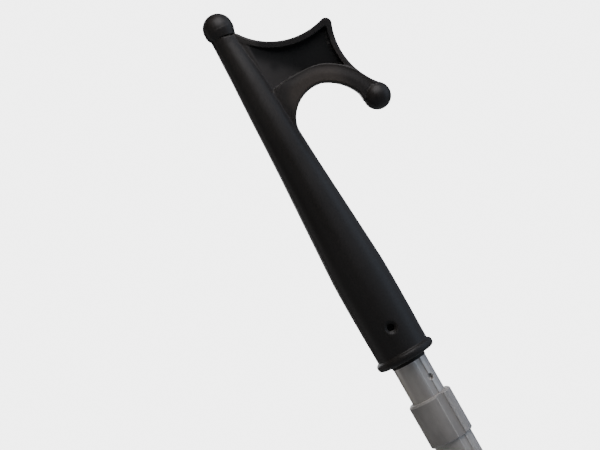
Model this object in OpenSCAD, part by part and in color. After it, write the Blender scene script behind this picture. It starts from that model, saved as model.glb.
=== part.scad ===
// Two-stage telescopic boat hook, stored collapsed.
// +Z runs up the pole from the butt to the head, +X points to the hook's side, -Y is the front.
// The origin is on the pole's axis, on the flat end of the butt.

/* [Pole] */
// Length of the outer section, from the butt to the top of the collar
handle_len = 1130; // [900:1:1400]
// Bare inner tube between the collar and the head when collapsed
stow_gap = 27; // [24:1:60]
// Height of the stowed lock button above the butt
stow_hole_z = 54.6; // [54:0.2:60]

/* [Tubes] */
// Outside diameter of the outer tube
outer_d = 25.4; // [25:0.1:27]
// Outside diameter of the inner tube
inner_d = 22.2; // [21.8:0.1:22.4]
// Wall of both tubes
wall = 1.25; // [1:0.05:1.3]
// Gap that a sliding piece keeps to its guide
slide_gap = 0.25; // [0.2:0.05:0.35]
// Gap round a piece pushed into another
push_gap = 0.05; // [0.02:0.01:0.1]

/* [Anti-turn channel] */
// Angle of the channel from the front towards the hook's side
channel_turn = 26.5; // [0:0.5:50]
// Mouth of the channel in the inner tube
channel_w = 4.4; // [3.5:0.1:5]
// Depth of the channel in each tube
channel_depth = 0.8; // [0.5:0.1:0.9]
// Width of the fine groove beside the channel in the collar and the outer tube
groove_w = 0.9; // [0.6:0.1:1.2]
// Depth of the fine groove
groove_t = 0.35; // [0.2:0.05:0.4]

/* [Collar] */
// Length of the collar
collar_len = 29.4; // [26:0.2:36]
// Outside diameter of the collar
collar_d = 28.6; // [28:0.1:30]
// Thickness of the lip that closes over the end of the outer tube
lip_h = 4; // [3.5:0.1:6]

/* [Grip] */
// Length of the grip, sleeve and end cap together
grip_len = 95; // [90:1:130]
// Length of the end cap
cap_len = 45; // [40:1:46]
// Diameter at the top of the grip
grip_top_d = 26.8; // [26.6:0.1:28]
// Largest diameter of the grip
grip_mid_d = 30.9; // [30:0.1:34]
// Diameter at the butt
butt_d = 28.6; // [28:0.1:30]

/* [Hook head] */
// Diameter of the flange at the foot of the head
flange_d = 38.5; // [37:0.1:42]
// Thickness of the flange
flange_h = 5.6; // [4:0.1:7]
// Diameter of the socket that holds the tube
socket_d = 34.9; // [33:0.1:36]
// Height of the straight part of the socket
socket_h = 61; // [56:1:70]
// Depth to which the tube goes in
tube_depth = 48; // [40:1:50]
// Diameter of the neck just under the nose ball
neck_d = 17.8; // [16:0.1:18]
// Height of the neck's top
neck_h = 226.5; // [226:0.5:228]
// Diameter of the nose ball
nose_d = 19; // [18:0.1:22]
// Height of the nose ball's centre
nose_h = 234.8; // [233:0.1:236]
// Radius of the bight that holds a line
bight_r = 22.1; // [21:0.1:22.4]
// Thickness of the arm about the bight
arm_t = 11.8; // [11:0.1:12.5]
// Width of the arm, from the bight to its ridge
arm_w = 11.4; // [10:0.1:12]
// Thickness of the rim round the web
rim_t = 10; // [8:0.1:11]
// Thickness of the web's panel inside the rim
panel_t = 2.4; // [2:0.1:4]
// Diameter of the tip ball
tip_d = 17.8; // [16:0.1:19]

/* [Lock button] */
// Diameter of the button
button_d = 6; // [5:0.1:6.4]
// Travel of the button from flush to fully out
button_out = 3; // [2:0.1:3]

/* [Hidden] */
$fn = 96;
eps = 0.01;

// Radii of the tubes. The ends of the outer tube are swaged to a slightly smaller seat.
outer_r = outer_d / 2;
bore_r = outer_r - wall;
seat_r = outer_r - 0.1;
inner_r = inner_d / 2;
hollow_r = inner_r - wall;

// Channel: flanks lean by flank, and the formed ridge behind it is channel_back thick.
flank = 0.5;
channel_back = 1.1;
channel_dir = channel_turn - 90;
groove_land = 0.75;
inner_floor_r = inner_r - channel_depth;
outer_floor_r = outer_r - channel_depth;
ridge_in_r = inner_floor_r + slide_gap;
hollow_ridge_r = inner_floor_r - channel_back;
inner_ridge_w = channel_w / 2 + 0.5;
outer_ridge_w = channel_w / 2 - 0.4;
foot_notch_w = channel_w / 2 - 0.3;

// Levels on the pole, from the butt up
pad_floor = 3;
tube_z = 5;
end_plug_len = 17;
bumper_t = 4;
bumper_hole_r = 3;
bumper_z = tube_z + end_plug_len;
foot_z = bumper_z + bumper_t + 0.5;
foot_t = 5;
inner_base_z = foot_z + foot_t;
spigot_len = 14;
collar_z = handle_len - collar_len;
outer_top_z = handle_len - lip_h;
head_z = handle_len + stow_gap;
inner_top_z = head_z + tube_depth;
work_hole_z = collar_z - 8;
foam_z = stow_hole_z + 40;

// Butt pad and the spigot of the end cap that it fits over
pad_h = 14;
pad_round = 3;
spigot_r = butt_d / 2 - 1.1;
sleeve_gap = 0.6;
edge = 0.8;

// Fixings and small pieces on the pole
rivet_r = 1.6;
rivet_head_r = 2.8;
rivet_dome = 0.9;
rivet_turns = [140, 220];
rivet_z = collar_z + 13;
end_screw_z = 18.5;
end_screw_r = 1.2;
end_screw_tip = 3;
end_head_r = 3;
end_head_t = 0.75;
end_head_y = seat_r + 1.05;
wiper_r = inner_r + 1.6;
wiper_t = 1.5;
wiper_z = outer_top_z + 1.2;
pin_r = 1.5;
pin_z = inner_base_z + 7;
seal_t = 0.35;
seal_drop = 2.4;
seal_in = 6;
drain_z = head_z - 15.8;
drain_turn = 40.5;
drain_r = 2;

// Places on the head: x from the pole's axis, h above the foot of the flange.
// The bight is where two discs overlap: bight on the neck's side, reach on the tip's side.
bight = [33.5, 152.6];
reach = [27.3, 146.4];
reach_r = bight_r + 7.75;
ridge_h = 186.9;
arm_low = 151.5;
arm_cut = [[76, 158.7], [54, 149.9]];
crest = [44.7, 250];
crest_r = 43.8;
back = [103.3, 186.1];
back_r = 44.7;
cusp = [58.4, 204.4];
cusp_r = 3.8;
tip = [64.3, 150.3];
web_edge = [[68, 161], [bight.x, 160], [0, 158]];
panel_low = 180;
panel_top = 224;
panel_x = 70;
crest_rim = 4.2;
back_rim = 3.5;
ramp_x = 30;
nose_x = -0.75;
waist = [[14.55, 112], [12.2, 155]];
skirt_r = 8;
skirt_h = 4;
cutter_t = 60;
core_r = 8;
core_top_r = 4.5;
core_top_h = 150;
screw_h = 22.9;
screw_turns = [1.5, 181.5];
screw_tip = 3;
screw_r = 1.4;
screw_head_r = 1.9;
screw_head_t = 1.2;
recess_r = 2.1;
recess_floor = 12.4;
sink_floor = 15.55;
sink_h = 4;
sink_slope = 1.25;

// Lock button: its shoulder lies inside the tube when the button is fully out
shoulder_t = 0.8;
shoulder_r = 4;
shoulder_y = sqrt(hollow_r * hollow_r - shoulder_r * shoulder_r) - 0.4 - button_out;
dome_h = 1.5;
hole_gap = 0.3;
thumb_r = 6;
hole_in = 5;
hole_out = 25;

// ---- shared shapes ----

module ring(r_out, r_in, z0, z1) {
    translate([0, 0, z0]) difference() {
        cylinder(r = r_out, h = z1 - z0);
        translate([0, 0, -1]) cylinder(r = r_in, h = z1 - z0 + 2);
    }
}

// Straight bar along the channel, from radius r0 to r1, with half-widths w0 and w1 there
module channel_bar(r0, r1, w0, w1, z0, z1) {
    rotate([0, 0, channel_dir]) translate([0, 0, z0]) linear_extrude(z1 - z0)
        polygon([[r0, -w0], [r1, -w1], [r1, w1], [r0, w0]]);
}

// Channel cut into a round surface of radius r
module channel_cut(r, half_w, depth, z0, z1) {
    channel_bar(r - depth, r + depth, half_w - flank, half_w + flank, z0 - 1, z1 + 1);
}

// V-groove in a surface of radius r, past the land beside a channel that is half_w wide each way
module side_groove(r, half_w, z0, z1) {
    off = half_w + groove_land + groove_w / 2;
    rotate([0, 0, channel_dir + asin(off / r)]) translate([0, 0, z0 - 1]) linear_extrude(z1 - z0 + 2)
        polygon([[r - groove_t, 0], [r + groove_t, -groove_w], [r + groove_t, groove_w]]);
}

// Cutter for a bore of radius r that leaves the formed ridge standing inwards to radius ridge_r
module ridged_bore(r, ridge_r, w0, w1, z0, z1) {
    difference() {
        translate([0, 0, z0 - 1]) cylinder(r = r, h = z1 - z0 + 2);
        channel_bar(ridge_r, r + 1, w0, w1, z0 - 2, z1 + 2);
    }
}

// Clearance for a ridge that stands inwards to radius r
module ridge_cut(r, half_w, z0, z1) {
    channel_bar(r, r + 4, half_w, half_w + 1, z0 - 1, z1 + 1);
}

// Cylinder along the radius at a turn from the front towards the hook's side
module spoke(turn, r, from, to, z) {
    translate([0, 0, z]) rotate([90, 0, turn]) translate([0, 0, from]) cylinder(r = r, h = to - from);
}

// Cutter for a round hole in from the outside, at a turn from the front
module hole(turn, r, z, depth_to = hole_in) {
    spoke(turn, r, depth_to, hole_out, z);
}

// Flat shape drawn in x and h, given a thickness along Y
module slab(t) {
    rotate([90, 0, 0]) linear_extrude(t, center = true) children();
}

module disc_at(place, r, t) {
    slab(t) translate(place) circle(r = r);
}

// ---- handle ----

module outer_tube() {
    half_w = channel_w / 2 + 0.3;
    color("#a9abae") difference() {
        union() {
            translate([0, 0, tube_z]) cylinder(r = seat_r, h = outer_top_z - tube_z);
            translate([0, 0, grip_len]) cylinder(r = outer_r, h = collar_z - grip_len);
        }
        ridged_bore(bore_r, ridge_in_r, half_w - 2 * flank, half_w, tube_z, outer_top_z);
        channel_cut(outer_r, half_w, channel_depth, tube_z, outer_top_z);
        side_groove(outer_r, half_w, tube_z, outer_top_z);
        button_hole(stow_hole_z);
        button_hole(work_hole_z);
        hole(180, end_screw_r + 0.1, end_screw_z);
        rivet_holes();
    }
}

// Hole in a tube's back for the lock button
module button_hole(z) {
    hole(180, button_d / 2 + hole_gap, z);
}

module rivet_holes() {
    for (turn = rivet_turns) hole(turn, rivet_r, rivet_z);
}

module guide_collar() {
    half_w = channel_w / 2;
    lip_r = inner_r + slide_gap;
    collar_r = collar_d / 2;
    bevel = 0.7;
    mouth_bevel = 1.1;
    flare = 0.9;
    cut_t = 1;
    color("#6f7072") difference() {
        union() {
            translate([0, 0, collar_z]) rotate_extrude() polygon([
                [lip_r, 0], [collar_r - bevel, 0], [collar_r, bevel], [collar_r, collar_len - mouth_bevel],
                [collar_r - mouth_bevel, collar_len], [lip_r, collar_len]
            ]);
            channel_bar(ridge_in_r, lip_r + eps, half_w - 2 * flank, half_w - slide_gap,
                outer_top_z, handle_len);
        }
        difference() {
            translate([0, 0, collar_z - 1])
                cylinder(r = seat_r + push_gap, h = collar_len - lip_h + 1 + push_gap);
            channel_bar(outer_floor_r + push_gap, outer_r, half_w - flank, half_w, collar_z - 1, handle_len);
        }
        channel_cut(collar_r, half_w + flare, cut_t, collar_z, handle_len);
        side_groove(collar_r, half_w + flare, collar_z, handle_len);
        ring(wiper_r, inner_r, wiper_z - push_gap, wiper_z + wiper_t + push_gap);
        rivet_holes();
    }
}

module wiper_ring() {
    half_w = channel_w / 2 + 0.1;
    color("#1d1d1f") difference() {
        ring(wiper_r - push_gap, inner_r + slide_gap + push_gap, wiper_z, wiper_z + wiper_t);
        channel_bar(5, 20, half_w, half_w, wiper_z - 1, wiper_z + wiper_t + 1);
    }
}

module collar_rivets() {
    top_r = collar_d / 2 + rivet_dome;
    color("#c9cacc") for (turn = rivet_turns) {
        spoke(turn, rivet_r - push_gap, bore_r + push_gap, collar_d / 2 + 0.3, rivet_z);
        difference() {
            intersection() {
                spoke(turn, rivet_head_r, 10, top_r, rivet_z);
                translate([0, 0, rivet_z]) rotate([90, 0, turn]) translate([0, 0, top_r - 6]) sphere(r = 6);
            }
            cylinder(r = collar_d / 2 + eps, h = handle_len);
        }
    }
}

module grip_sleeve() {
    base = cap_len + sleeve_gap;
    widest_z = base + 8;
    color("#6c6d6f") difference() {
        rotate_extrude() polygon([
            [seat_r + push_gap, base], [grip_mid_d / 2 - edge, base], [grip_mid_d / 2, base + edge],
            [grip_mid_d / 2, widest_z], [grip_top_d / 2, grip_len - edge / 2],
            [grip_top_d / 2 - edge / 2, grip_len], [seat_r + push_gap, grip_len]
        ]);
        hole(180, thumb_r, stow_hole_z);
    }
}

module grip_end_cap() {
    color("#6c6d6f") difference() {
        rotate_extrude() polygon([
            [0, pad_floor], [spigot_r, pad_floor], [spigot_r, pad_h], [butt_d / 2 + 0.1, pad_h],
            [grip_mid_d / 2, cap_len - edge], [grip_mid_d / 2 - edge, cap_len], [0, cap_len]
        ]);
        translate([0, 0, tube_z]) cylinder(r = seat_r + push_gap, h = cap_len);
        hole(180, end_head_r + 0.4, end_screw_z, end_head_y - push_gap);
        hole(180, end_screw_r + 0.3, end_screw_z);
    }
}

module butt_pad() {
    butt_r = butt_d / 2;
    color("#4c4d4f") difference() {
        rotate_extrude() union() {
            polygon([
                [0, 0], [butt_r - pad_round, 0], [butt_r, pad_round], [butt_r, pad_h - 0.2], [0, pad_h - 0.2]
            ]);
            translate([butt_r - pad_round, pad_round]) circle(r = pad_round);
        }
        translate([0, 0, pad_floor]) cylinder(r = spigot_r + push_gap, h = pad_h);
    }
}

module end_plug() {
    color("#d8d6cf") difference() {
        translate([0, 0, tube_z]) cylinder(r = bore_r - push_gap, h = end_plug_len);
        ridge_cut(ridge_in_r - slide_gap, outer_ridge_w, tube_z, bumper_z);
        hole(180, end_screw_r + push_gap, end_screw_z, end_screw_tip - 1);
    }
}

// Cross-headed screw along a spoke: shank from r0 to its head at r1
module cross_screw(turn, shank_r, head_r, head_t, r0, r1, z) {
    slot_l = 1.3 * head_r;
    slot_w = 0.24 * head_r;
    spoke(turn, shank_r, r0, r1 + eps, z);
    difference() {
        spoke(turn, head_r, r1, r1 + head_t, z);
        translate([0, 0, z]) rotate([90, 0, turn]) translate([0, 0, r1 + head_t]) {
            cube([slot_l, slot_w, head_t], center = true);
            cube([slot_w, slot_l, head_t], center = true);
        }
    }
}

module end_screw() {
    color("#b8bac0")
        cross_screw(180, end_screw_r, end_head_r, end_head_t, end_screw_tip, end_head_y, end_screw_z);
}

module stow_bumper() {
    color("#262626") ring(ridge_in_r - slide_gap, bumper_hole_r, bumper_z, bumper_z + bumper_t);
}

// ---- sliding shaft ----

module inner_tube() {
    half_w = channel_w / 2;
    color("#9c9ea1") difference() {
        translate([0, 0, inner_base_z]) cylinder(r = inner_r, h = inner_top_z - inner_base_z);
        ridged_bore(hollow_r, hollow_ridge_r, half_w, half_w + 0.3, inner_base_z, inner_top_z);
        channel_cut(inner_r, half_w, channel_depth, inner_base_z, inner_top_z);
        button_hole(stow_hole_z);
        hole(drain_turn, drain_r, drain_z);
        head_screw_holes(screw_r + 0.1, head_z);
        translate([0, 0, pin_z]) rotate([0, 90, 0]) cylinder(r = pin_r + push_gap, h = 40, center = true);
    }
}

// Holes for the head screws in a piece whose head level is at z
module head_screw_holes(r, z) {
    for (turn = screw_turns) hole(turn, r, z + screw_h, screw_tip - 1);
}

module guide_plug() {
    color("#e4e2da") difference() {
        union() {
            translate([0, 0, foot_z]) cylinder(r = bore_r - slide_gap, h = foot_t);
            difference() {
                translate([0, 0, inner_base_z]) cylinder(r = hollow_r - push_gap, h = spigot_len);
                ridge_cut(hollow_ridge_r - push_gap, inner_ridge_w, inner_base_z, inner_base_z + spigot_len);
            }
        }
        channel_bar(ridge_in_r - slide_gap, 20, foot_notch_w, foot_notch_w + 1.1, foot_z - 1, inner_base_z);
        translate([0, 0, pin_z]) rotate([0, 90, 0]) cylinder(r = pin_r + push_gap, h = 40, center = true);
    }
}

module guide_pin() {
    color("#c4c6ca") translate([0, 0, pin_z]) rotate([0, 90, 0])
        cylinder(r = pin_r, h = 2 * inner_r - 0.4, center = true);
}

module float_foam() {
    color("#ece9e0") translate([0, 0, foam_z]) cylinder(r = hollow_ridge_r - 0.1, h = head_z - foam_z);
}

module head_plug() {
    base = head_z + 4;
    color("#d8d6cf") difference() {
        translate([0, 0, base]) cylinder(r = hollow_r - push_gap, h = inner_top_z - base);
        ridge_cut(hollow_ridge_r - push_gap, inner_ridge_w, base, inner_top_z);
        head_screw_holes(screw_r + push_gap, head_z);
    }
}

module head_seal() {
    color("#141414") ring(inner_r + seal_t, inner_r + 0.02, head_z - seal_drop, head_z + seal_in);
}

module head_screws() {
    color("#3a3a3c") for (turn = screw_turns)
        cross_screw(turn, screw_r, screw_head_r, screw_head_t, screw_tip, recess_floor, head_z + screw_h);
}

module hook_head() {
    color("#1c1a1a") translate([0, 0, head_z]) difference() {
        union() {
            head_turning();
            head_web();
            head_arm();
        }
        translate([0, 0, -1]) cylinder(r = inner_r + push_gap, h = tube_depth + 1);
        translate([0, 0, -1]) cylinder(r = inner_r + seal_t + push_gap, h = seal_in + 1);
        translate([0, 0, tube_depth - eps])
            cylinder(r1 = core_r, r2 = core_top_r, h = core_top_h - tube_depth);
        for (turn = screw_turns) screw_recess(turn);
        head_screw_holes(screw_r + 0.1, 0);
    }
}

// Hole for a screw head, countersunk at the surface
module screw_recess(turn) {
    hole(turn, recess_r, screw_h, recess_floor);
    translate([0, 0, screw_h]) rotate([90, 0, turn]) translate([0, 0, sink_floor])
        cylinder(r1 = recess_r, r2 = recess_r + sink_slope * sink_h, h = sink_h);
}

// Flange, socket and neck, slightly hollow between socket and neck, with the nose ball on top
module head_turning() {
    lip_r = flange_h / 2;
    rotate_extrude() union() {
        polygon([
            [0, 0], [flange_d / 2 - lip_r, 0], [flange_d / 2 - lip_r, flange_h],
            [socket_d / 2 - 0.3, flange_h], [socket_d / 2, socket_h], waist[0], waist[1],
            [neck_d / 2, neck_h - 2], [neck_d / 2 - 1.2, neck_h], [0, neck_h]
        ]);
        translate([flange_d / 2 - lip_r, lip_r]) circle(r = lip_r);
    }
    translate([nose_x, 0, nose_h]) sphere(r = nose_d / 2);
    translate([nose_x, 0, neck_h - eps]) cylinder(r1 = skirt_r, r2 = nose_d / 2 - 0.5, h = skirt_h);
}

// Rimmed plate between the neck, the cusp and the arm, recessed on both faces
module head_web() {
    difference() {
        slab(rim_t) polygon(concat([
            [0, neck_h + 1.5], [nose_x + skirt_r, neck_h + 1.5],
            towards(crest, cusp, crest_r), towards(back, cusp, back_r)
        ], web_edge));
        disc_at(crest, crest_r, cutter_t);
        disc_at(back, back_r, cutter_t);
        bight_void();
        panel_recess();
        mirror([0, 1, 0]) panel_recess();
    }
    disc_at(cusp, cusp_r, rim_t);
}

// Point at distance r from a, on the way to b
function towards(a, b, r) = a + r * (b - a) / norm(b - a);

module bight_void() {
    intersection() {
        disc_at(bight, bight_r, cutter_t);
        disc_at(reach, reach_r, cutter_t);
    }
}

// Recess in one face: its floor ramps from the neck down to the panel
module panel_recess() {
    difference() {
        translate([0, 0, panel_low]) linear_extrude(panel_top - panel_low) polygon([
            [neck_d / 2, -rim_t / 2], [ramp_x, -panel_t / 2], [panel_x, -panel_t / 2],
            [panel_x, -cutter_t / 2], [neck_d / 2, -cutter_t / 2]
        ]);
        disc_at(crest, crest_r + crest_rim, cutter_t);
        disc_at(back, back_r + back_rim, cutter_t);
        disc_at(cusp, cusp_r - 0.6, cutter_t);
        disc_at(reach, reach_r + arm_w - 1, cutter_t);
    }
}

// Arm about the bight: flat faces, a ridge on its upper side, and the tip ball on its end
module head_arm() {
    difference() {
        intersection() {
            disc_at(reach, reach_r + arm_w, arm_t);
            slab(cutter_t) polygon([[0, arm_low], [0, ridge_h], [66, ridge_h], arm_cut[0], arm_cut[1]]);
        }
        bight_void();
        disc_at(back, back_r, cutter_t);
    }
    translate([tip.x, 0, tip.y]) sphere(r = tip_d / 2);
}

// ---- lock ----

module lock_button() {
    tip_y = inner_r - 0.1;
    color("#c8cacd") translate([0, 0, stow_hole_z]) rotate([-90, 0, 0]) rotate_extrude() union() {
        polygon([
            [0, shoulder_y - shoulder_t], [shoulder_r, shoulder_y - shoulder_t], [shoulder_r, shoulder_y],
            [button_d / 2, shoulder_y], [button_d / 2, tip_y - dome_h], [button_d / 2 - 0.5, tip_y - 0.5],
            [button_d / 2 - 1.4, tip_y], [0, tip_y]
        ]);
    }
}

module button_spring() {
    strip = 0.6;
    half_w = 3;
    low = stow_hole_z - 5;
    high = stow_hole_z + 30;
    front_y = -8.6;
    back_y = shoulder_y - shoulder_t - 0.1;
    color("#b9bcc2") rotate([90, 0, 90]) linear_extrude(2 * half_w, center = true) polygon([
        [front_y, low], [front_y + strip, low], [-1.6, high - 1], [-0.8, high - 1],
        [back_y - strip, stow_hole_z + 5], [back_y - strip, low], [back_y, low], [back_y, stow_hole_z + 5.2],
        [-0.3, high], [-2.1, high]
    ]);
}

hook_head();
head_screws();
head_seal();
head_plug();
inner_tube();
float_foam();
guide_plug();
guide_pin();
button_spring();
lock_button();
outer_tube();
guide_collar();
collar_rivets();
wiper_ring();
grip_sleeve();
grip_end_cap();
butt_pad();
end_plug();
end_screw();
stow_bumper();
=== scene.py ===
import math

import bpy
import numpy as np
from mathutils import Matrix, Vector


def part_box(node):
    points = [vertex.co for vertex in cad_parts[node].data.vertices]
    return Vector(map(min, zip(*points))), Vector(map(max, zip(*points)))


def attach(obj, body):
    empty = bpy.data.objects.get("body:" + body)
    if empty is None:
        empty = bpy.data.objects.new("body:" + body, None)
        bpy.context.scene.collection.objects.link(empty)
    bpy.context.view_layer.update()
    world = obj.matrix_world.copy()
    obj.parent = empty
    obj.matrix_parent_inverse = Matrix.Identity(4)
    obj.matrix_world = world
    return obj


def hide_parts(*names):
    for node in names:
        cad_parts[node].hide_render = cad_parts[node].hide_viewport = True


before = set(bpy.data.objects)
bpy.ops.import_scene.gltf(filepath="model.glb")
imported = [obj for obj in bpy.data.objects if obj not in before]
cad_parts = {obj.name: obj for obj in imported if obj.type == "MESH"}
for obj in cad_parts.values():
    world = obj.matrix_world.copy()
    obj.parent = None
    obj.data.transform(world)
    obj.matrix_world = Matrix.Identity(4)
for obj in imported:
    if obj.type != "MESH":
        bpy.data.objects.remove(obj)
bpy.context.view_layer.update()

MM = 0.001
HEAD_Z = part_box("hook_head")[0].z / MM


def lifted(h):
    """The height in metres above the floor of a height on the head in millimetres."""
    return (HEAD_Z + h) * MM


# Places on the hook head in millimetres: x from the pole's axis, h above the foot of the flange
CREST, CREST_R = (44.7, 250.0), 43.8
BACK, BACK_R = (103.3, 186.1), 44.7
CUSP, CUSP_R = (58.4, 204.4), 3.8
THROAT_LEFT, THROAT_LEFT_R = (33.5, 152.6), 22.1
THROAT_RIGHT, THROAT_RIGHT_R = (27.3, 146.4), 29.85
ARM_W, RIDGE_H = 11.4, 186.9
ARM_HALF, RIM_HALF, PANEL_HALF = 5.9, 5.0, 0.9
ARM_LOW = 151.5
ARM_END, ARM_END_DIR = (63.0, 153.5), (0.371, -0.929)
CREST_RIM, BACK_RIM, WEB_DROP = 4.2, 3.7, 0.6
RAMP_FOOT, RAMP_TOP, RAMP_CURVE = 9.0, 31.0, 1.6
ARM_HOLLOW, ARM_LIP = 0.55, 0.1
RIDGE_ROUND, RIM_ROUND, ARM_ROUND, LIP_ROUND = 3, 1.5, 1.1, 0.8
POCKET_CORNER, POCKET_EDGE = 2.5, 0.6
PANEL_FROM = 195.0
TIP, TIP_R, TIP_GROOVE_R = (64.3, 150.3), 8.9, 0.35
NOSE, NOSE_R = (-0.75, 234.8), 9.5
NOSE_SEAT, NOSE_SEAT_DIR, CREVICE_R = (0, 228.1), (0.196, 0.98), 0.55
SKIRT_TOP_H, SKIRT_TOP_R, SKIRT_SLOPE = 232.8, 9.28, 0.22
# Radius of the socket and neck, each with its height. The neck's top leans a little away from the hook.
NECK = [
    (17.15, 5), (17.2, 13), (17.4, 25), (17.5, 40), (17.5, 52), (17.3, 63), (16.6, 75), (15.42, 95),
    (14.2, 115), (13.0, 135), (12.05, 155), (11.2, 175), (10.15, 195), (9.46, 205), (8.7, 215),
    (8.12, 223), (7.97, 232),
]
NECK_SLOPE, NECK_LEAN, LEAN_FROM, LEAN_TO = 0.055, 0.8, 195, 226
FLANGE_R, FLANGE_H, FLANGE_TOP_LIP, FLANGE_FOOT_LIP = 19.22, 5.5, 2.2, 2.6
BORE_R, BORE_TOP, SEAL_R, SEAL_TOP = 11.2, 48.0, 11.52, 6.05
SCREW_H, SCREW_TURN = 22.9, math.radians(1.5)
RECESS_R, RECESS_FLOOR, SINK_FLOOR, SINK_SLOPE = 2.1, 12.4, 15.55, 1.25


# ---- distance fields, in millimetres, negative inside ----

def disc(x, h, centre, radius):
    """Distance past a circle drawn in x and h."""
    return np.hypot(x - centre[0], h - centre[1]) - radius


def beyond(x, h, point, normal):
    """Distance past a plane drawn in x and h."""
    return (x - point[0]) * normal[0] + (h - point[1]) * normal[1]


def smin(a, b, k):
    """Union with a fillet about k wide."""
    t = np.clip(0.5 + 0.5 * (b - a) / k, 0, 1)
    return b + (a - b) * t - k * t * (1 - t)


def smax(a, b, k):
    """Overlap, with its edge eased about k wide."""
    return -smin(-a, -b, k)


def rounded(a, b, r):
    """Where two shapes overlap, its corner rounded to radius r."""
    return np.minimum(np.maximum(a, b), -r) + np.hypot(np.maximum(a + r, 0), np.maximum(b + r, 0))


def step(v, low, high):
    """A smooth rise from 0 at low to 1 at high."""
    t = np.clip((v - low) / (high - low), 0, 1)
    return t * t * (3 - 2 * t)


def turned(x, y, h):
    """Flange, socket and neck, cut by the slanted plane under the nose ball."""
    lean = NECK_LEAN * step(h, LEAN_FROM, LEAN_TO)
    rho = np.hypot(x + lean, y)
    radius = np.interp(h, [p[1] for p in NECK], [p[0] for p in NECK])
    neck = (rho - radius) / math.hypot(1, NECK_SLOPE)
    neck = np.maximum(neck, beyond(x, h, NOSE_SEAT, NOSE_SEAT_DIR))
    neck = smax(neck, 1.0 - h, 0.5)
    flange = rounded(rho - FLANGE_R, h - FLANGE_H, FLANGE_TOP_LIP)
    flange = np.maximum(flange, rounded(rho - FLANGE_R, -h, FLANGE_FOOT_LIP))
    return smin(neck, flange, 0.9)


def nose(x, y, h):
    """Ball with a tapering skirt down to its seat."""
    rho = np.hypot(x - NOSE[0], y)
    ball = np.hypot(rho, h - NOSE[1]) - NOSE_R
    skirt = (rho - SKIRT_TOP_R - SKIRT_SLOPE * (h - SKIRT_TOP_H)) / math.hypot(1, SKIRT_SLOPE)
    skirt = np.maximum(skirt, h - SKIRT_TOP_H)
    skirt = np.maximum(skirt, -beyond(x, h, NOSE_SEAT, NOSE_SEAT_DIR))
    return smin(ball, skirt, 1.2)


def sunk(x, y, h, shape):
    """The countersunk screw holes and the bore for the tube and its seal."""
    for turn in (SCREW_TURN, SCREW_TURN + math.pi):
        out = x * math.sin(turn) - y * math.cos(turn)
        rho = np.hypot(x * math.cos(turn) + y * math.sin(turn), h - SCREW_H)
        wide = rho - RECESS_R - np.maximum(out - SINK_FLOOR, 0) * SINK_SLOPE
        shape = smax(shape, -np.maximum(wide / math.hypot(1, SINK_SLOPE), RECESS_FLOOR - out), 0.4)
    rho = np.hypot(x, y)
    bore = np.minimum(np.maximum(rho - BORE_R, h - BORE_TOP), np.maximum(rho - SEAL_R, h - SEAL_TOP))
    return smax(shape, -bore, 0.3)


def outline_corner(x, h, crest, back):
    """Crest and back edges, joined at the cusp by the arc that touches both."""
    dx, dh = x - CUSP[0], h - CUSP[1]
    to_crest = (CREST[0] - CUSP[0], CREST[1] - CUSP[1])
    to_back = (BACK[0] - CUSP[0], BACK[1] - CUSP[1])
    after_back = to_back[0] * dh - to_back[1] * dx > 0
    before_crest = dx * to_crest[1] - dh * to_crest[0] > 0
    return np.where(after_back & before_crest, np.hypot(dx, dh) - CUSP_R, np.maximum(crest, back))


def web(x, y, h):
    """The rimmed plate with its dished pocket, and the arm about the throat."""
    across = np.abs(y)
    crest = -disc(x, h, CREST, CREST_R)
    back = -disc(x, h, BACK, BACK_R)
    throat_left = disc(x, h, THROAT_LEFT, THROAT_LEFT_R)
    throat = -np.maximum(throat_left, disc(x, h, THROAT_RIGHT, THROAT_RIGHT_R))
    above_ridge = rounded(disc(x, h, THROAT_RIGHT, THROAT_RIGHT_R + ARM_W), h - RIDGE_H, RIDGE_ROUND)
    ends = np.maximum(np.maximum(ARM_LOW - h, -x), beyond(x, h, ARM_END, ARM_END_DIR))

    # rim and pocket: the floor ramps down in a hollow curve from the neck to the level panel
    top = h - NOSE_SEAT[1] + WEB_DROP
    edges = np.maximum(outline_corner(x, h, crest, back), np.maximum(throat, top))
    rim = rounded(np.maximum(edges, ends), across - RIM_HALF, RIM_ROUND)
    run = np.clip((x - RAMP_FOOT) / (RAMP_TOP - RAMP_FOOT), 0, 1)
    floor = PANEL_HALF + (RIM_HALF - PANEL_HALF) * (1 - run) ** RAMP_CURVE
    pocket = rounded(crest + CREST_RIM, back + BACK_RIM, POCKET_CORNER)
    pocket = rounded(pocket, -above_ridge, LIP_ROUND)
    plate = smax(rim, -rounded(pocket, floor - across, POCKET_EDGE), 0.4)

    # arm: full at the throat, slightly hollow towards a narrow lip along the ridge
    depth = -above_ridge
    hollow = ARM_HOLLOW * (1 - step(depth, 1.2, 7)) - ARM_LIP * (1 - step(depth, 0.3, 1.6))
    thick = ARM_HALF - hollow * step(x, 14, 24)
    arm = rounded(np.maximum(np.maximum(throat, back), ends), across - thick, ARM_ROUND)
    return smin(plate, rounded(arm, above_ridge, LIP_ROUND), 0.5)


def head_field(points):
    """The whole head, with a fine groove round the tip ball and a crevice under the nose ball."""
    x, y, h = points[:, 0], points[:, 1], points[:, 2]
    shape = smin(turned(x, y, h), web(x, y, h), 0.6)
    tip = np.sqrt((x - TIP[0]) ** 2 + y**2 + (h - TIP[1]) ** 2) - TIP_R
    shape = smin(shape, tip, 0.5)
    shape = smax(shape, TIP_GROOVE_R - np.hypot(tip, shape - 0.1), 0.2)
    shape = smin(shape, nose(x, y, h), 0.2)
    crevice = np.hypot(beyond(x, h, NOSE_SEAT, NOSE_SEAT_DIR), shape - 0.15) - CREVICE_R * step(x, -7, 0)
    shape = smax(shape, -crevice, 0.25)
    return sunk(x, y, h, shape)


# ---- meshes ----

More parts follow.
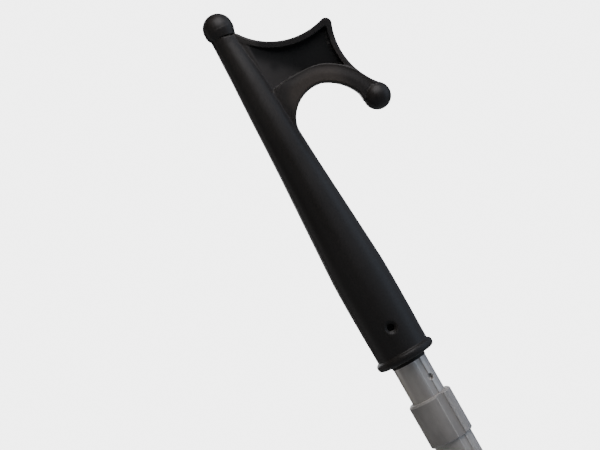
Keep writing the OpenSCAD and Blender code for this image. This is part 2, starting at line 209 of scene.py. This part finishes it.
CELL_CORNERS = [(a, b, c) for a in (0, 1) for b in (0, 1) for c in (0, 1)]
AXES = np.eye(3, dtype=int)


def sampled(field, low, high, cell):
    """Field values on a grid, exact near the surface and in coarse blocks elsewhere."""
    block = 4
    counts = (np.ceil((high - low) / cell / block).astype(int) + 1) * block
    coarse = [low[i] + (np.arange(counts[i] // block) + 0.5) * block * cell for i in range(3)]
    grid = np.stack(np.meshgrid(*coarse, indexing="ij"), -1).reshape(-1, 3)
    values = field(grid).reshape([c // block for c in counts])
    for axis in range(3):
        values = np.repeat(values, block, axis)
    near = np.argwhere(np.abs(values) < block * cell * 1.5)
    values[tuple(near.T)] = field(low + near * cell)
    return values


def crossing_means(values, cells):
    """For each cell, the mean of the places where its edges cross the surface, in cells."""
    total, weight = np.zeros((len(cells), 3)), np.zeros(len(cells))
    for along in AXES:
        for corner in CELL_CORNERS:
            if np.dot(corner, along):
                continue
            first = cells + corner
            second = first + along
            va, vb = values[tuple(first.T)], values[tuple(second.T)]
            cross = (va < 0) != (vb < 0)
            t = np.where(cross, va / np.where(cross, va - vb, 1), 0)
            total += np.where(cross[:, None], first + along * t[:, None], 0)
            weight += cross
    return total / weight[:, None]


def settled(field, points, most):
    """Points moved onto the surface, by up to most in each of four steps."""
    for _ in range(4):
        value, slope = field(points), gradient(field, points)
        length = np.maximum((slope**2).sum(1), 0.25)
        points = points - np.clip(slope * (value / length)[:, None], -most, most)
    return points


def crossing_faces(inside, number):
    """A quad about each grid edge that crosses the surface, from the points of its four cells."""
    faces = []
    for axis in range(3):
        one, two = AXES[(axis + 1) % 3], AXES[(axis + 2) % 3]
        keep = [slice(1, -1)] * 3
        ahead = list(keep)
        ahead[axis] = slice(2, None)
        a, b = inside[tuple(keep)], inside[tuple(ahead)]
        for here, flip in ((a & ~b, False), (~a & b, True)):
            edges = np.argwhere(here) + 1
            quad = [number[tuple((edges - back).T)] for back in (0 * one, one, one + two, two)]
            faces.append(np.stack(quad[::-1] if flip else quad, 1))
    faces = np.concatenate(faces)
    return faces[(faces >= 0).all(1)]


def nets(field, low, high, cell):
    """Surface nets over a distance field: a point in each cell that the surface passes, joined by quads."""
    low, high = np.array(low, float), np.array(high, float)
    values = sampled(field, low, high, cell)
    inside = values < 0
    span = [slice(0, -1), slice(1, None)]
    full = sum(inside[span[a], span[b], span[c]].astype(np.int8) for a, b, c in CELL_CORNERS)
    cells = np.argwhere((full > 0) & (full < len(CELL_CORNERS)))
    number = np.full(full.shape, -1, int)
    number[tuple(cells.T)] = np.arange(len(cells))
    points = settled(field, low + crossing_means(values, cells) * cell, 0.4 * cell)
    return points, crossing_faces(inside, number)


def gradient(field, points, reach=0.05):
    """Slope of the field, from samples at this reach in millimetres to both sides."""
    sides = [field(points + d) - field(points - d) for d in np.eye(3) * reach]
    return np.stack(sides, 1) / (2 * reach)


def mesh_piece(name, points, faces, normals, body):
    """A smooth mesh from points in millimetres, with its own normals at them, riding on a body."""
    mesh = bpy.data.meshes.new(name)
    mesh.vertices.add(len(points))
    mesh.vertices.foreach_set("co", (np.asarray(points, float) * MM).ravel())
    mesh.loops.add(faces.size)
    mesh.loops.foreach_set("vertex_index", faces.ravel().astype(np.int32))
    mesh.polygons.add(len(faces))
    mesh.polygons.foreach_set("loop_start", np.arange(0, faces.size, faces.shape[1], dtype=np.int32))
    mesh.update(calc_edges=True)
    mesh.validate()
    mesh.polygons.foreach_set("use_smooth", [True] * len(mesh.polygons))
    mesh.normals_split_custom_set_from_vertices(normals)
    piece = bpy.data.objects.new(name, mesh)
    bpy.context.scene.collection.objects.link(piece)
    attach(piece, body)
    return piece


def make_head():
    """The head in quads about a cell wide, with normals from its field, which are finer than the quads."""
    low, high, cell = (-21.3, -21.3, -2), (75, 21.3, 246), 0.68
    points, faces = nets(head_field, low, high, cell)
    normals = gradient(head_field, points, 0.12)
    normals /= np.linalg.norm(normals, axis=1)[:, None]
    points[:, 2] += HEAD_Z
    head = mesh_piece("moulded_head", points, faces, normals, "shaft")
    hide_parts("hook_head")


# ---- finishes ----

class Finish:
    """A node material under construction. Its methods add nodes and return their output sockets."""

    def __init__(self, name, colour, rough, metal=0.0, specular=0.5):
        self.material = bpy.data.materials.new(name)
        self.material.use_nodes = True
        self.tree = self.material.node_tree
        self.shader = self.tree.nodes["Principled BSDF"]
        self.place = self.node("TexCoord").outputs["Object"]
        self.shader.inputs["Base Color"].default_value = (*colour, 1)
        self.shader.inputs["Roughness"].default_value = rough
        self.shader.inputs["Metallic"].default_value = metal
        self.shader.inputs["Specular IOR Level"].default_value = specular

    def node(self, kind, sockets=(), **settings):
        made = self.tree.nodes.new("ShaderNode" + kind)
        for key, value in settings.items():
            setattr(made, key, value)
        for name, value in dict(sockets).items():
            self.feed(made.inputs[name], value)
        return made

    def feed(self, socket, value):
        if isinstance(value, bpy.types.NodeSocket):
            self.tree.links.new(value, socket)
        else:
            socket.default_value = value

    def set(self, **values):
        """Socket names as keywords, with _ for a space."""
        for name, value in values.items():
            self.feed(self.shader.inputs[name.replace("_", " ")], value)

    def noise(self, size, detail=2.0, stretch=1.0, seed=0.0):
        """Noise of about this grain in metres, drawn out along the pole by stretch."""
        scale = (1 / size, 1 / size, 1 / size / stretch)
        moved = self.node("Mapping", {"Vector": self.place, "Scale": scale, "Location": (seed, seed, seed)})
        sockets = {"Vector": moved.outputs[0], "Scale": 1.0, "Detail": detail}
        return self.node("TexNoise", sockets).outputs["Fac"]

    def along(self, axis):
        return self.node("SeparateXYZ", {"Vector": self.place}).outputs[axis]

    def pointiness(self):
        return self.node("NewGeometry").outputs["Pointiness"]

    def math(self, operation, a, b=0.0):
        return self.node("Math", {0: a, 1: b}, operation=operation).outputs[0]

    def times(self, first, *others):
        for other in others:
            first = self.math("MULTIPLY", first, other)
        return first

    def span(self, value, low, high, to_low=0.0, to_high=1.0):
        """Smooth map of value from low..high to to_low..to_high."""
        sockets = {"Value": value, "From Min": low, "From Max": high, "To Min": to_low, "To Max": to_high}
        return self.node("MapRange", sockets, interpolation_type="SMOOTHSTEP").outputs["Result"]

    def mix(self, share, a, b):
        a, b = [(*c, 1) if isinstance(c, tuple) else c for c in (a, b)]
        return self.node("Mix", {"Factor": share, 6: a, 7: b}, data_type="RGBA").outputs[2]

    def bump(self, height, depth, under=None, strength=1.0):
        sockets = {"Height": height, "Distance": depth, "Strength": strength}
        if under is not None:
            sockets["Normal"] = under
        return self.node("Bump", sockets).outputs[0]

    def soft_edges(self, radius):
        return self.node("Bevel", {"Radius": radius}, samples=4).outputs[0]

    def edge(self, radius):
        """Share of 1 along edges, within about this radius in metres."""
        true = self.node("NewGeometry").outputs["Normal"]
        turn = self.node("VectorMath", {0: self.soft_edges(radius), 1: true}, operation="DOT_PRODUCT")
        return self.span(turn.outputs["Value"], 0.90, 0.998, 1, 0)

    def on(self, *names):
        for name in names:
            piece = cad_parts[name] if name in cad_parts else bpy.data.objects[name]
            piece.data.materials.clear()
            piece.data.materials.append(self.material)


def worn_edges(f):
    """Share of 1 on the head's sharper edges, above the flange."""
    above_flange = f.span(f.along("Z"), lifted(FLANGE_H), lifted(FLANGE_H + 3))
    sharp = f.times(f.span(f.pointiness(), 0.56, 0.66), above_flange)
    return f.times(sharp, f.span(f.noise(0.004, 4), 0.45, 0.7))


def matt_pocket_painted_shade(f, depth):
    """Share of 1 on the floor of the web's pocket, and a little less on the rim about it. The colour uses
    it as painted shade, darkening the recess; the roughness uses it to make the pocket matt.
    """
    inward = f.math("ADD", f.along("X"), f.math("SUBTRACT", f.along("Z"), lifted(PANEL_FROM)))
    below_rim = f.span(depth, 0.0044, 0.0049, 1, 0)
    floor = f.times(below_rim, f.span(inward, 0.013, 0.028), f.span(f.pointiness(), 0.50, 0.54, 1, 0))
    rim = f.span(f.along("Z"), lifted(RIDGE_H + 3), lifted(RIDGE_H + 11), 0, 0.8)
    return f.math("MAXIMUM", floor, f.times(rim, f.span(f.along("X"), 0.012, 0.018)))


def arm_rub_and_painted_light(f):
    """Share of 1 on the arm about the throat, between the neck and the tip. The colour uses it as painted
    light, lightening the arm's face; the roughness uses it to roughen the arm a little.
    """
    centre = (THROAT_LEFT[0] * MM, 0, lifted(THROAT_LEFT[1]))
    flat_place = f.node("VectorMath", {0: f.place, 1: (1, 0, 1)}, operation="MULTIPLY").outputs[0]
    reach = f.node("VectorMath", {0: flat_place, 1: centre}, operation="DISTANCE").outputs["Value"]
    from_neck, to_tip = f.span(f.along("X"), 0.012, 0.02), f.span(f.along("X"), 0.046, 0.056, 1, 0)
    return f.times(f.span(reach, 0.027, 0.034, 1, 0), from_neck, to_tip)


def moulded_nylon():
    """Black glass-filled nylon: fine mould texture, faint flow marks, worn edges, a matt pocket darkened
    with painted shade, and an arm face lightened with painted light.
    """
    f = Finish("moulded_nylon", (0.01, 0.01, 0.01), 0.45)
    f.shader.inputs["Specular Tint"].default_value = (0.86, 0.91, 1.0, 1)
    depth = f.math("ABSOLUTE", f.along("Y"))
    worn, pocket, rub_and_light = worn_edges(f), matt_pocket_painted_shade(f, depth), arm_rub_and_painted_light(f)

    flow = f.noise(0.03, 3, 2.5)
    colour = f.mix(f.span(flow, 0.35, 0.65), (0.0168, 0.0144, 0.0126), (0.0222, 0.0198, 0.0180))
    colour = f.mix(f.times(worn, 0.12), colour, (0.06, 0.058, 0.056))
    # painted light: the arm's face about the throat is lightened where light falls on it
    colour = f.mix(rub_and_light, colour, (0.052, 0.044, 0.038))
    # painted shade: the pocket's floor and the rim about it are darkened for the shade cast into the recess
    colour = f.mix(pocket, colour, (0.0015, 0.0014, 0.0012))

    rough = f.span(flow, 0.3, 0.7, 0.42, 0.49)
    for share, more in ((worn, 0.1), (pocket, 0.4), (rub_and_light, 0.1)):
        rough = f.math("ADD", rough, f.times(share, more))

    parting_line = f.span(depth, 0.00005, 0.00028, 1, 0)
    normal = f.bump(f.noise(0.0007, 2), 0.00002)
    normal = f.bump(f.noise(0.012, 2), 0.00006, normal)
    normal = f.bump(parting_line, 0.00009, normal)
    f.set(Base_Color=colour, Roughness=rough, Normal=normal)
    f.on("moulded_head", "hook_head")


def drawn_tube(name, node, tone, rough, metal, seed):
    """Satin anodised tube: lines drawn along it, faint cloudiness, lighter rubbing streaks and a painted
    highlight along its edges.
    """
    f = Finish(name, (tone, tone, tone), rough, metal)
    f.shader.inputs["Anisotropic"].default_value = 0.35
    lines = f.noise(0.0009, 3, 90, seed)
    cloud = f.noise(0.02, 3, 3, seed + 3)
    streak = f.span(f.noise(0.003, 5, 14, seed + 7), 0.56, 0.72)
    low = tuple(tone * k for k in (0.965, 0.94, 0.91))
    high = tuple(tone * k for k in (1.055, 1.03, 1.0))
    colour = f.mix(f.span(cloud, 0.35, 0.65), low, high)
    colour = f.mix(f.times(streak, 0.35), colour, (min(1, tone * 1.45),) * 3)
    # painted highlight: the colour is lightened along edges, as a bright line catching the light
    colour = f.mix(f.times(f.edge(0.0006), 0.7), colour, (min(1, tone * 1.9),) * 3)
    dull = f.math("ADD", f.span(cloud, 0.3, 0.7, rough - 0.04, rough + 0.05), f.times(streak, -0.07))
    dull = f.math("ADD", dull, f.span(lines, 0.3, 0.7, -0.03, 0.03))
    normal = f.bump(lines, 0.00002, f.soft_edges(0.0006))
    f.set(Base_Color=colour, Roughness=dull, Normal=normal)
    f.on(node)


def moulded_grey(name, nodes, colour, rough, seed, grain_depth=0.00005):
    """Grey moulded plastic with a fine grain, handling marks, soft edges and a painted highlight along
    them.
    """
    f = Finish(name, colour, rough)
    dark, light = tuple(c * 0.9 for c in colour), tuple(c * 1.1 for c in colour)
    tone = f.mix(f.span(f.noise(0.011, 4, 2, seed), 0.35, 0.65), dark, light)
    marks = f.span(f.noise(0.0022, 5, 5, seed + 5), 0.6, 0.74)
    tone = f.mix(f.times(marks, 0.3), tone, tuple(c * 1.7 for c in colour))
    # painted highlight: the colour is lightened along edges, as a bright line catching the light
    tone = f.mix(f.times(f.edge(0.0009), 0.8), tone, tuple(min(1, c * 2) for c in colour))
    normal = f.bump(f.noise(0.0006, 2, 1, seed + 1), grain_depth, f.soft_edges(0.0009))
    f.set(Base_Color=tone, Roughness=f.span(marks, 0, 1, rough, rough - 0.08), Normal=normal)
    f.on(*nodes)


def rubber(name, nodes, colour, seed):
    """Rubber with a fine grain and patches of pale dust."""
    f = Finish(name, colour, 0.62)
    dust = f.span(f.noise(0.004, 5, 1, seed), 0.5, 0.75)
    tone = f.mix(f.times(dust, 0.4), colour, tuple(c * 1.8 + 0.01 for c in colour))
    normal = f.bump(f.noise(0.0005, 3, 1, seed + 2), 0.00006, f.soft_edges(0.0003))
    f.set(Base_Color=tone, Roughness=f.span(dust, 0, 1, 0.58, 0.78), Normal=normal)
    f.on(*nodes)


def steel(name, nodes, tone, rough, seed):
    """Turned and tumbled steel with fine scratches."""
    f = Finish(name, (tone, tone, tone), rough, metal=1.0)
    scratch = f.span(f.noise(0.0006, 6, 4, seed), 0.52, 0.62)
    colour = f.mix(scratch, (tone * 0.9, tone * 0.9, tone * 0.92), (min(1, tone * 1.2),) * 3)
    normal = f.bump(scratch, 0.00001, f.soft_edges(0.00015))
    f.set(Base_Color=colour, Roughness=f.span(scratch, 0, 1, rough, rough + 0.12), Normal=normal)
    f.on(*nodes)


def plug_nylon():
    """Uncoloured nylon, a little translucent and cloudy."""
    f = Finish("natural_nylon", (0.66, 0.63, 0.56), 0.42)
    f.shader.inputs["Subsurface Weight"].default_value = 0.15
    tone = f.mix(f.span(f.noise(0.009, 3), 0.35, 0.65), (0.60, 0.57, 0.49), (0.71, 0.69, 0.62))
    f.set(Base_Color=tone, Normal=f.bump(f.noise(0.0008, 2), 0.00004, f.soft_edges(0.0003)))
    f.on("end_plug", "guide_plug", "head_plug")


def float_foam():
    """Closed-cell foam: round cells with darker walls."""
    f = Finish("cell_foam", (0.8, 0.79, 0.74), 0.85)
    moved = f.node("Mapping", {"Vector": f.place, "Scale": (900, 900, 900)}).outputs[0]
    cells = f.node("TexVoronoi", {"Vector": moved, "Scale": 1.0}).outputs["Distance"]
    tone = f.mix(f.span(cells, 0.3, 0.75), (0.94, 0.93, 0.90), (0.78, 0.77, 0.73))
    f.set(Base_Color=tone, Normal=f.bump(f.span(cells, 0.2, 0.8, 1, 0), 0.0002))
    f.on("float_foam")


# ---- camera, light and floor ----

# Strength of the white backdrop, and the floor's radius in metres
BACKDROP, FLOOR_R = 6.0, 4.8


def make_camera():
    """A 100 mm lens square to the hook's plane, rolled so that the pole leans to the upper left."""
    lean, distance = math.radians(29.67), 1.03
    right = Vector((math.cos(lean), 0, -math.sin(lean)))
    up = Vector((math.sin(lean), 0, math.cos(lean)))
    back = right.cross(up)
    aim = Vector((-0.0167, 0, lifted(104.4)))
    data = bpy.data.cameras.new("camera")
    data.lens, data.sensor_width = 100, 36
    data.clip_start, data.clip_end = 0.05, 50
    cam = bpy.data.objects.new("camera", data)
    bpy.context.scene.collection.objects.link(cam)
    turn = Matrix((right, up, back)).transposed().to_4x4()
    cam.matrix_world = Matrix.Translation(aim + distance * back) @ turn
    bpy.context.scene.camera = cam


def softbox(name, place, target, size, power, colour=(1, 1, 1)):
    """A rectangular lamp turned to its target, with its power in watts."""
    data = bpy.data.lights.new(name, "AREA")
    data.shape = "RECTANGLE"
    data.size, data.size_y = size
    data.energy, data.color = power, colour
    lamp = bpy.data.objects.new(name, data)
    bpy.context.scene.collection.objects.link(lamp)
    lamp.location = place
    lamp.rotation_mode = "QUATERNION"
    lamp.rotation_quaternion = (Vector(target) - Vector(place)).to_track_quat("-Z", "Y")


def make_lights():
    head = Vector((0.02, 0, lifted(170)))
    softbox("overhead", head + Vector((0.17, -0.25, 0.33)), head, (0.42, 0.42), 1.75, (1.0, 0.92, 0.86))
    softbox("right_window", (1.3, -0.1, 1.0), (0, 0, 0.9), (0.7, 1.8), 2.7, (0.72, 0.84, 1.0))
    softbox("left_edge", (-1.2, 0.4, 1.0), (0, 0, 0.9), (0.4, 1.8), 1.3, (1.0, 0.95, 0.9))
    softbox("front_fill", (-1.15, -1.1, 1.35), (0, 0, 1.0), (1.0, 1.4), 0.75, (1.0, 0.98, 0.95))
    softbox("behind", (-0.4, 1.6, 1.7), (0, 0, 0.9), (1.2, 1.2), 10)


def make_world():
    """Surroundings that brighten to the hook's side, and a white backdrop for the camera."""
    world = bpy.data.worlds.new("world")
    bpy.context.scene.world = world
    world.use_nodes = True
    tree = world.node_tree

    def node(kind, *links):
        made = tree.nodes.new("ShaderNode" + kind)
        for source, socket in links:
            tree.links.new(source, made.inputs[socket])
        return made

    side = node("SeparateXYZ", (node("TexCoord").outputs["Generated"], 0)).outputs["X"]
    share = node("MapRange", (side, "Value"))
    share.interpolation_type = "SMOOTHSTEP"
    share.inputs["From Min"].default_value = -0.3
    share.inputs["From Max"].default_value = 1.0
    tone = node("Mix", (share.outputs["Result"], "Factor"))
    tone.data_type = "RGBA"
    tone.inputs[6].default_value = (0.055, 0.0525, 0.0495, 1)
    tone.inputs[7].default_value = (0.25, 0.275, 0.325, 1)
    light = tree.nodes["Background"]
    tree.links.new(tone.outputs[2], light.inputs[0])
    shown = node("Background")
    shown.inputs[1].default_value = BACKDROP
    rays = node("LightPath").outputs["Is Camera Ray"]
    pick = node("MixShader", (rays, 0), (light.outputs[0], 1), (shown.outputs[0], 2))
    tree.links.new(pick.outputs[0], tree.nodes["World Output"].inputs[0])


def make_floor():
    """A pale round floor, just under the butt, that brightens into the backdrop."""
    sides, under = 96, -0.0005
    turns = [math.tau * k / sides for k in range(sides)]
    mesh = bpy.data.meshes.new("floor")
    ring = [(FLOOR_R * math.cos(t), FLOOR_R * math.sin(t), under) for t in turns]
    mesh.from_pydata(ring, [], [range(sides)])
    floor = bpy.data.objects.new("floor", mesh)
    bpy.context.scene.collection.objects.link(floor)
    f = Finish("pale_floor", (0.8, 0.8, 0.79), 0.7)
    away = f.node("VectorMath", {0: f.place}, operation="LENGTH").outputs["Value"]
    shown = f.node("LightPath").outputs["Is Camera Ray"]
    tone = f.mix(f.noise(0.3, 3), (0.78, 0.78, 0.77), (0.82, 0.82, 0.81))
    glow = f.times(shown, f.span(away, 0.5, FLOOR_R, 0.9, BACKDROP))
    f.set(Base_Color=tone, Emission_Color=(1, 1, 1, 1), Emission_Strength=glow)
    mesh.materials.append(f.material)


make_camera()
make_world()
make_lights()
make_floor()
make_head()

moulded_nylon()
drawn_tube("inner_anodised", "inner_tube", 0.68, 0.42, 0.5, 1)
drawn_tube("outer_anodised", "outer_tube", 0.60, 0.52, 0.25, 11)
moulded_grey("collar_plastic", ["guide_collar"], (0.45, 0.443, 0.437), 0.5, 2)
moulded_grey("grip_plastic", ["grip_sleeve", "grip_end_cap"], (0.22, 0.22, 0.22), 0.55, 6, 0.00009)
rubber("butt_rubber", ["butt_pad"], (0.055, 0.055, 0.057), 3)
rubber("black_rubber", ["head_seal", "wiper_ring", "stow_bumper"], (0.012, 0.012, 0.012), 9)
bright_parts = ["lock_button", "button_spring", "guide_pin", "collar_rivets", "end_screw"]
steel("bright_steel", bright_parts, 0.62, 0.28, 4)
steel("dark_steel", ["head_screws"], 0.03, 0.5, 8)
plug_nylon()
float_foam()
